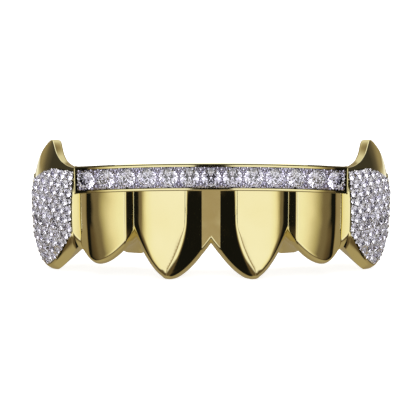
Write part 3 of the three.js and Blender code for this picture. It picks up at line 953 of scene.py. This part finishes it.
def add_roughness(tree, shader, source, low, high):
    """Roughness that wanders between two values."""
    node = tree.nodes.new("ShaderNodeMapRange")
    node.inputs["From Min"].default_value = NOISE_LOW
    node.inputs["From Max"].default_value = NOISE_HIGH
    node.inputs["To Min"].default_value = low
    node.inputs["To Max"].default_value = high
    tree.links.new(source, node.inputs["Value"])
    tree.links.new(node.outputs["Result"], shader.inputs["Roughness"])


def add_bump(tree, shader, source, strength, distance):
    node = tree.nodes.new("ShaderNodeBump")
    node.inputs["Strength"].default_value = strength
    node.inputs["Distance"].default_value = distance
    tree.links.new(source, node.inputs["Height"])
    tree.links.new(node.outputs["Normal"], shader.inputs["Normal"])


def gold_material():
    material, tree, shader = new_material("polished_gold")
    shader.inputs["Metallic"].default_value = 1.0
    add_tint(tree, shader, noise(tree, scale=160), GOLD_TINTS)
    add_roughness(tree, shader, noise(tree, scale=900, detail=4.0), low=0.05, high=0.09)
    add_bump(tree, shader, noise(tree, scale=220, detail=1.0), strength=0.2, distance=0.0003)
    return material


def white_metal_material(name, tints):
    material, tree, shader = new_material(name)
    shader.inputs["Metallic"].default_value = 1.0
    add_tint(tree, shader, noise(tree, scale=800), tints)
    add_roughness(tree, shader, noise(tree, scale=2500, detail=4.0), low=0.1, high=0.22)
    add_bump(tree, shader, noise(tree, scale=3000), strength=0.25, distance=0.00004)
    return material


def crystal_material(name, tints):
    material, tree, shader = new_material(name)
    shader.inputs["Transmission Weight"].default_value = 1.0
    shader.inputs["IOR"].default_value = STONE_IOR
    add_tint(tree, shader, noise(tree, scale=1500), tints)
    add_roughness(tree, shader, noise(tree, scale=4000), low=0.0, high=0.03)
    return material


GOLD = gold_material()
WHITE_METAL = white_metal_material("white_metal", WHITE_TINTS)
PAINTED_SHADE_METAL = white_metal_material("white_metal_painted_shade", PAINTED_SHADE_TINTS)
CRYSTAL = crystal_material("clear_stone", STONE_TINTS)
SMALL_CRYSTAL = crystal_material("clear_small_stone", SMALL_STONE_TINTS)


# Pieces

def finished(piece, slot, *nodes):
    """Sets a piece on the part in place of its solids."""
    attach(piece, "root")
    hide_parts(*nodes)


def flatten_ends(body):
    """Shades the two end faces flat, so that their large triangles don't show."""
    for side in (1, -1):
        tangent = Vector((1, arch_slope(side * ARCH_END), 0)).normalized()
        for polygon in body.data.polygons:
            if abs(polygon.normal.dot(tangent)) > SAME_DIRECTION:
                polygon.use_smooth = False


def cast_body():
    sections = rounded_ends(casting_stations(), casting_ring, ARCH_END, END_ROUND)
    body = make_object("gold_casting", *loft(sections))
    bar_sections = rounded_ends(even_stations(BAR_END), bar_ring, BAR_END, BAR_END_ROUND)
    bar = make_object("bar", *loft(bar_sections))
    boolean(body, bar, "UNION")
    seat_front = BAR_FRONT + CUTTER_REACH
    seat_stations = even_stations(BAR_END - BAR_END_RIM)
    seat = make_object("seat", *loft([(x, rail_ring(x, seat_front, GAP)) for x in seat_stations]))
    boolean(body, seat, "DIFFERENCE")
    field = pave_slab(CUTTER_REACH, PAVE_PROUD - PAVE_THICKNESS - GAP, GAP)
    for side in (1, -1):
        boolean(body, make_object("field", *mirrored(field, side)), "DIFFERENCE")
    dress(body, GOLD, CASTING_SHARP)
    flatten_ends(body)
    finished(body, "gold", "cast_body")


def stone_rail():
    stations = even_stations(BAR_END - BAR_END_RIM - GAP)
    rail = make_object("stone_setting", *loft([(x, rail_ring(x, RAIL_FRONT, 0)) for x in stations]))
    radius = STONE_DIAMETER / 2 + GAP
    profile = [
        (HAIR, -PAVILION * STONE_DIAMETER - GAP),
        (radius, -GIRDLE * STONE_DIAMETER - GAP),
        (radius, CUTTER_REACH),
    ]
    seats = [channel_seat(x) for x in channel_stations()]
    cutter = make_object("cutter", *gathered(lathe(profile, SEAT_SIDES), seats))
    boolean(rail, cutter, "DIFFERENCE")
    grains = make_object("grains", *gathered(bead(RAIL_BEAD_SIDES, RAIL_BEAD_ROWS), rail_grains()))
    boolean(rail, grains, "UNION")
    # The rail takes the darker copy of the white metal, painted shade for the shadow among the stones
    dress(rail, PAINTED_SHADE_METAL, SETTING_SHARP)
    finished(rail, "white_metal", "stone_rail")


def channel_stones():
    shape = brilliant(STONE_DIAMETER)
    for i, x in enumerate(channel_stations()):
        stone = make_object(f"round_stone_{i + 1:02d}", *gathered(shape, [channel_seat(x)]), CRYSTAL)
        finished(stone, "crystal", f"stone_{i + 1:02d}")


def pave_fields():
    """A bed and a set of small stones on each canine cap, made at radius 1 and then placed."""
    spots, grains = pave_places()
    bed_shape = pave_slab(PAVE_PROUD, PAVE_PROUD - PAVE_THICKNESS, 0)
    grain_shape = gathered(bead(PAVE_BEAD_SIDES, PAVE_BEAD_ROWS), grains)
    seat_shape = gathered(lathe(PAVE_SEAT, PAVE_SEAT_SIDES), spots)
    stone_shape = gathered(brilliant(diameter=2.0), spots)
    for side, name in ((1, "right"), (-1, "left")):
        bed = make_object(f"pave_bed_{name}", *mirrored(bed_shape, side))
        boolean(bed, make_object("grains", *mirrored(grain_shape, side)), "UNION")
        boolean(bed, make_object("seats", *mirrored(seat_shape, side)), "DIFFERENCE")
        dress(bed, WHITE_METAL, SETTING_SHARP)
        finished(bed, "pave", f"pave_{name}")
        stones = make_object(f"pave_stones_{name}", *mirrored(stone_shape, side), SMALL_CRYSTAL)
        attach(stones, "root")


cast_body()
stone_rail()
channel_stones()
pave_fields()


# Floor, in metres

FLOOR_HALF = 1.5
FLOOR_STEPS = 24
FLOOR_GLOW = 0.86
FLOOR_ROUGHNESS = 0.9


def floor():
    mesh = bpy.data.meshes.new("floor")
    work = bmesh.new()
    bmesh.ops.create_grid(work, x_segments=FLOOR_STEPS, y_segments=FLOOR_STEPS, size=FLOOR_HALF)
    work.to_mesh(mesh)
    work.free()
    material, tree, shader = new_material("pale_floor")
    add_tint(tree, shader, noise(tree, scale=12), FLOOR_TINTS)
    shader.inputs["Emission Color"].default_value = (1, 1, 1, 1)
    shader.inputs["Emission Strength"].default_value = FLOOR_GLOW
    shader.inputs["Roughness"].default_value = FLOOR_ROUGHNESS
    shader.inputs["Specular IOR Level"].default_value = 0.0
    mesh.materials.append(material)
    ground = linked("floor", mesh)
    ground.visible_glossy = False
    ground.visible_transmission = False


# Studio that the polished faces reflect

BRIGHT = (1.03, 1.03, 1.06)
CREAM = (0.99, 0.98, 0.86)
WARM = (0.90, 0.84, 0.68)
TAN = (0.50, 0.44, 0.28)
SEPIA = (0.19, 0.15, 0.10)
GAP_COLOUR = (0.12, 0.085, 0.05)
LOW = (0.42, 0.355, 0.24)
SOFTBOX = (1.8, 1.8, 1.85)
HIGH_BACK = (0.75, 0.72, 0.66)
BLACK = (0.008, 0.008, 0.008)
BROWN = (0.16, 0.11, 0.055)
UMBER = (0.12, 0.10, 0.08)
DARK = (0.05, 0.045, 0.04)
OLIVE = (0.34, 0.28, 0.19)
BEIGE = (0.41, 0.335, 0.245)
DULL = (0.30, 0.24, 0.17)
SIDE_BRIGHT = (1.0, 1.0, 1.05)
ZENITH = (1.1, 1.1, 1.15)
# Edges in azimuth of a narrow dark strip behind the camera, and the heights where it begins, in degrees
DARK_STRIP_INNER, DARK_STRIP_OUTER = 2.2, 3.8
DARK_STRIP_HEIGHTS = (-16.5, -14.0)
# What stands round the piece: azimuth from the camera in degrees, then colours at eye level,
# lower down, in the gap under that, below it, above eye level and higher up
AROUND = (
    (0.0, BEIGE, BEIGE, BEIGE, LOW, DARK, SOFTBOX),
    (DARK_STRIP_INNER, BEIGE, BEIGE, BEIGE, LOW, DARK, SOFTBOX),
    (DARK_STRIP_OUTER, BRIGHT, BRIGHT, GAP_COLOUR, LOW, DARK, SOFTBOX),
    (20.0, BRIGHT, BRIGHT, GAP_COLOUR, LOW, DARK, SOFTBOX),
    (31.0, CREAM, CREAM, GAP_COLOUR, LOW, DARK, SOFTBOX),
    (35.0, WARM, WARM, GAP_COLOUR, LOW, DARK, SOFTBOX),
    (40.0, TAN, TAN, GAP_COLOUR, LOW, DARK, SOFTBOX),
    (43.5, SEPIA, SEPIA, GAP_COLOUR, LOW, DARK, SOFTBOX),
    (47.5, SEPIA, SEPIA, GAP_COLOUR, LOW, DARK, SOFTBOX),
    (50.0, BLACK, GAP_COLOUR, GAP_COLOUR, LOW, DARK, DARK),
    (58.0, BLACK, BLACK, BLACK, LOW, DARK, DARK),
    (77.0, BLACK, BLACK, BLACK, LOW, DARK, DARK),
    (80.0, BROWN, BROWN, BROWN, LOW, DARK, DARK),
    (85.0, DULL, OLIVE, OLIVE, LOW, DARK, DULL),
    (93.0, BEIGE, OLIVE, OLIVE, LOW, DARK, DULL),
    (98.0, SIDE_BRIGHT, OLIVE, OLIVE, LOW, DARK, DARK),
    (108.0, SIDE_BRIGHT, OLIVE, OLIVE, LOW, UMBER, UMBER),
    (117.0, SIDE_BRIGHT, OLIVE, OLIVE, LOW, OLIVE, OLIVE),
    (135.0, SIDE_BRIGHT, OLIVE, OLIVE, LOW, OLIVE, HIGH_BACK),
    (155.0, SIDE_BRIGHT, OLIVE, OLIVE, LOW, OLIVE, HIGH_BACK),
    (164.0, BEIGE, OLIVE, OLIVE, LOW, OLIVE, HIGH_BACK),
    (180.0, UMBER, OLIVE, OLIVE, LOW, OLIVE, HIGH_BACK),
)
HALF_TURN = 180.0
# Heights in degrees between which each band gives way to the next
TO_LOWER = (-15.5, -21.0)
TO_RAISED = (-5.0, 2.0)
TO_HIGH = (20.0, 30.0)
TO_ZENITH = (55.0, 75.0)
TO_GAP = (-39.0, -46.0)
TO_LOW = (-60.0, -70.0)


def maths(tree, operation, *values):
    node = tree.nodes.new("ShaderNodeMath")
    node.operation = operation
    for slot, value in enumerate(values):
        if isinstance(value, float):
            node.inputs[slot].default_value = value
        else:
            tree.links.new(value, node.inputs[slot])
    return node.outputs[0]


def mixed(tree, share, first, second):
    node = tree.nodes.new("ShaderNodeMix")
    node.data_type = "RGBA"
    tree.links.new(share, node.inputs["Factor"])
    for socket, value in (("A", first), ("B", second)):
        target = next(s for s in node.inputs if s.name == socket and s.type == "RGBA")
        if isinstance(value, tuple):
            target.default_value = (*value, 1)
        else:
            tree.links.new(value, target)
    return next(s for s in node.outputs if s.type == "RGBA")


def between(tree, value, low, high):
    """Zero at low and one at high, eased between them."""
    node = tree.nodes.new("ShaderNodeMapRange")
    node.interpolation_type = "SMOOTHSTEP"
    node.inputs["From Min"].default_value = low
    node.inputs["From Max"].default_value = high
    tree.links.new(value, node.inputs["Value"])
    return node.outputs["Result"]


def between_heights(tree, height, degrees):
    return between(tree, height, *[math.sin(math.radians(angle)) for angle in degrees])


def studio():
    world = bpy.data.worlds.new("studio")
    bpy.context.scene.world = world
    world.use_nodes = True
    tree = world.node_tree
    where = tree.nodes.new("ShaderNodeTexCoord")
    split = tree.nodes.new("ShaderNodeSeparateXYZ")
    tree.links.new(where.outputs["Generated"], split.inputs["Vector"])
    height = split.outputs["Z"]
    toward_camera = maths(tree, "MULTIPLY", split.outputs["Y"], -1.0)
    azimuth = maths(tree, "ARCTAN2", split.outputs["X"], toward_camera)
    share = maths(tree, "DIVIDE", maths(tree, "ABSOLUTE", azimuth), math.pi)
    bands = []
    for column in range(1, len(AROUND[0])):
        bands.append(colour_ramp(tree, share, [(row[0] / HALF_TURN, row[column]) for row in AROUND]))
    level, lower, gap, low, raised, high = bands
    colour = mixed(tree, between_heights(tree, height, TO_LOWER), level, lower)
    centre = between(tree, share, DARK_STRIP_OUTER / HALF_TURN, DARK_STRIP_INNER / HALF_TURN)
    above = between_heights(tree, height, DARK_STRIP_HEIGHTS)
    colour = mixed(tree, maths(tree, "MULTIPLY", centre, above), colour, BLACK)
    steps = ((TO_RAISED, raised), (TO_HIGH, high), (TO_ZENITH, ZENITH), (TO_GAP, gap), (TO_LOW, low))
    for heights, following in steps:
        colour = mixed(tree, between_heights(tree, height, heights), colour, following)
    background = next(n for n in tree.nodes if n.type == "BACKGROUND")
    tree.links.new(colour, background.inputs["Color"])


# Lamp, in metres and watts

LAMP_SIZE = 0.8
LAMP_HEIGHT = 0.7
LAMP_POWER = 8.5


def overhead():
    data = bpy.data.lights.new("overhead", "AREA")
    data.shape = "SQUARE"
    data.size = LAMP_SIZE
    data.energy = LAMP_POWER
    lamp = linked("overhead", data)
    lamp.location = (0, 0, LAMP_HEIGHT)
    lamp.visible_glossy = False
    lamp.visible_camera = False


# Camera: distance and aim in millimetres, the picture in pixels

CAMERA_ELEVATION = 12.4
CAMERA_DISTANCE = 300.0
SENSOR_WIDTH = 36.0
NEAREST, FARTHEST = 0.01, 10
PIXELS_PER_MM = 8.0
FRAME_WIDTH, FRAME_HEIGHT = 416, 415
AIM = Vector((0, 0, 8.0))
AIM_PIXEL = (211.0, 209.535)


def camera():
    data = bpy.data.cameras.new("camera")
    data.sensor_width = SENSOR_WIDTH
    data.lens = SENSOR_WIDTH * CAMERA_DISTANCE * PIXELS_PER_MM / FRAME_WIDTH
    data.clip_start, data.clip_end = NEAREST, FARTHEST
    eye = linked("camera", data)
    tilt = math.radians(CAMERA_ELEVATION)
    forward = Vector((0, math.cos(tilt), -math.sin(tilt)))
    up = Vector((0, math.sin(tilt), math.cos(tilt)))
    right = Vector((1, 0, 0))
    aside = (FRAME_WIDTH / 2 - AIM_PIXEL[0]) / PIXELS_PER_MM
    lift = (AIM_PIXEL[1] - FRAME_HEIGHT / 2) / PIXELS_PER_MM
    eye.location = (AIM - forward * CAMERA_DISTANCE + right * aside + up * lift) * MM
    eye.rotation_mode = "QUATERNION"
    eye.rotation_quaternion = forward.to_track_quat("-Z", "Y")
    bpy.context.scene.camera = eye


floor()
studio()
overhead()
camera()
bpy.context.scene.view_settings.view_transform = "Standard"
